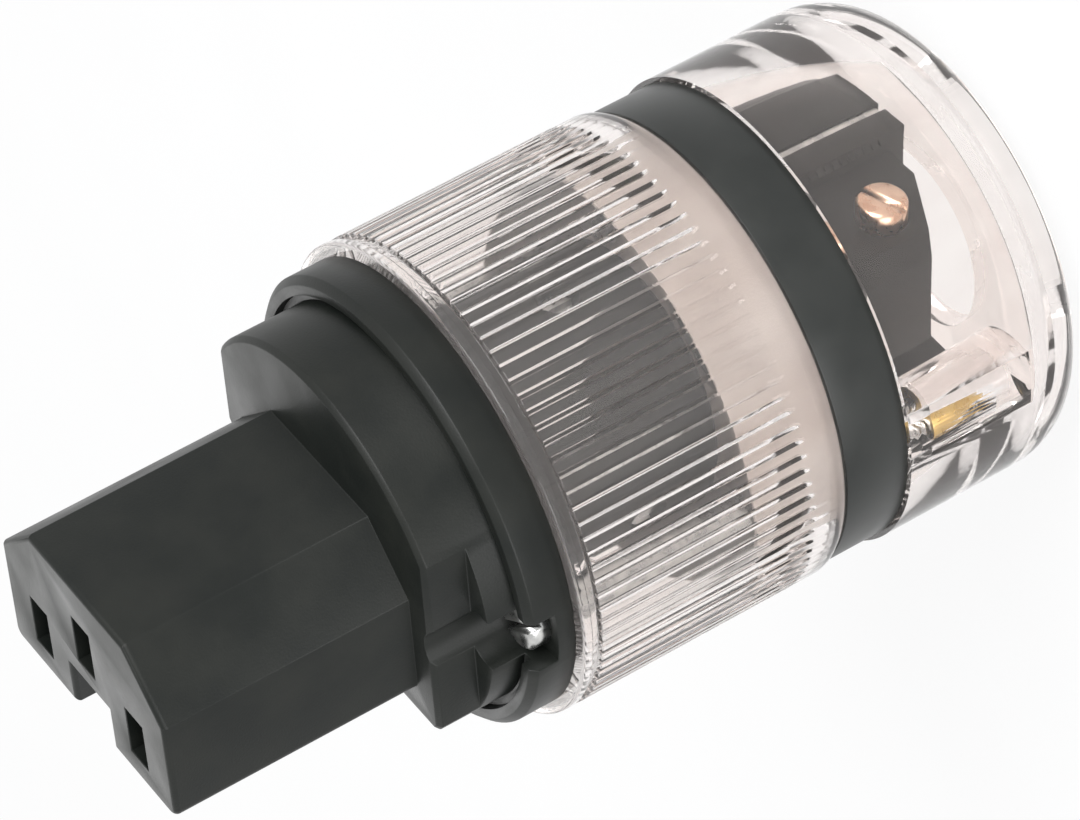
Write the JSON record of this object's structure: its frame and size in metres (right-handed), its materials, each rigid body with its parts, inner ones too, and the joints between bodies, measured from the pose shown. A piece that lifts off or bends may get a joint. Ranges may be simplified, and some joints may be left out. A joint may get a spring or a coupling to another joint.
{
  "type": "rewireable mains connector",
  "caption": "Rewireable mains connector with a rectangular three-slot nose, clear ribbed ring, black band, clear rear cap and a cord clamp.",
  "frame": {"origin": "centre of the flat rear end face, where the cord enters", "axes": "+Z along the connector's axis towards the nose, +Y towards the earth pole, +X across the line and neutral poles"},
  "size_m": [0.0406, 0.0406, 0.081],
  "materials": {
    "black_moulding": "satin moulded thermoset",
    "black_inner": "satin moulded",
    "clear_shell": "clear polished polycarbonate",
    "band": "smooth satin black",
    "steel_screw": "turned and plated",
    "copper_screw": "copper plated",
    "brass": "machined"
  },
  "bodies": {
    "shell": {"nose_body": "black_moulding", "terminal_barrel": "black_inner", "front_shell": "clear_shell", "band": "band", "rear_cap": "clear_shell", "clamp_base": "black_inner", "base_nut": "steel_screw", "line_contact": "brass", "neutral_contact": "brass", "earth_contact": "brass", "left_barrel_screw": "steel_screw", "left_assembly_screw": "steel_screw", "left_threaded_insert": "brass", "right_barrel_screw": "steel_screw", "right_assembly_screw": "steel_screw", "right_threaded_insert": "brass", "left_saddle_screw": "steel_screw", "right_saddle_screw": "steel_screw"},
    "line_plate": {"line_clamp_plate": "brass"},
    "line_screw": {"line_terminal_screw": "steel_screw"},
    "neutral_plate": {"neutral_clamp_plate": "brass"},
    "neutral_screw": {"neutral_terminal_screw": "steel_screw"},
    "earth_plate": {"earth_clamp_plate": "brass"},
    "earth_screw": {"earth_terminal_screw": "steel_screw"},
    "jaw": {"clamp_jaw": "black_inner", "jaw_nut": "steel_screw"},
    "jaw_clamp_screw": {"jaw_screw": "copper_screw"},
    "base_clamp_screw": {"base_screw": "copper_screw"}
  },
  "joints": [
    {"name": "line_plate_slide", "type": "slide", "parent": "shell", "child": "line_plate", "axis": [1, 0, 0], "range_m": [0, 0.002]},
    {"name": "line_screw_turn", "type": "hinge", "parent": "line_plate", "child": "line_screw", "pos_m": [-0.0061, -0.002, 0.0368], "axis": [1, 0, 0], "range_deg": [0, 1440]},
    {"name": "neutral_plate_slide", "type": "slide", "parent": "shell", "child": "neutral_plate", "axis": [-1, 0, 0], "range_m": [0, 0.002]},
    {"name": "neutral_screw_turn", "type": "hinge", "parent": "neutral_plate", "child": "neutral_screw", "pos_m": [0.0061, -0.002, 0.0368], "axis": [-1, 0, 0], "range_deg": [0, 1440]},
    {"name": "earth_plate_slide", "type": "slide", "parent": "shell", "child": "earth_plate", "axis": [0, -1, 0], "range_m": [0, 0.002]},
    {"name": "earth_screw_turn", "type": "hinge", "parent": "earth_plate", "child": "earth_screw", "pos_m": [0, 0.007, 0.0368], "axis": [0, -1, 0], "range_deg": [0, 1440]},
    {"name": "jaw_slide", "type": "slide", "parent": "shell", "child": "jaw", "axis": [0, -1, 0], "range_m": [0, 0.0018]},
    {"name": "jaw_screw_turn", "type": "hinge", "parent": "jaw", "child": "jaw_clamp_screw", "pos_m": [0.007, 0.0116, 0.0114], "axis": [0, -1, 0], "range_deg": [0, 1440]},
    {"name": "base_screw_turn", "type": "hinge", "parent": "shell", "child": "base_clamp_screw", "pos_m": [-0.007, -0.0116, 0.0114], "axis": [0, 1, 0], "range_deg": [0, 1440]}
  ],
  "couplings": [
    {"joint": "line_screw_turn", "follows": "line_plate_slide", "rad_per_m": 12566},
    {"joint": "neutral_screw_turn", "follows": "neutral_plate_slide", "rad_per_m": 12566},
    {"joint": "earth_screw_turn", "follows": "earth_plate_slide", "rad_per_m": 12566},
    {"joint": "jaw_screw_turn", "follows": "jaw_slide", "rad_per_m": 13963},
    {"joint": "base_screw_turn", "follows": "jaw_slide", "rad_per_m": 13963}
  ]
}
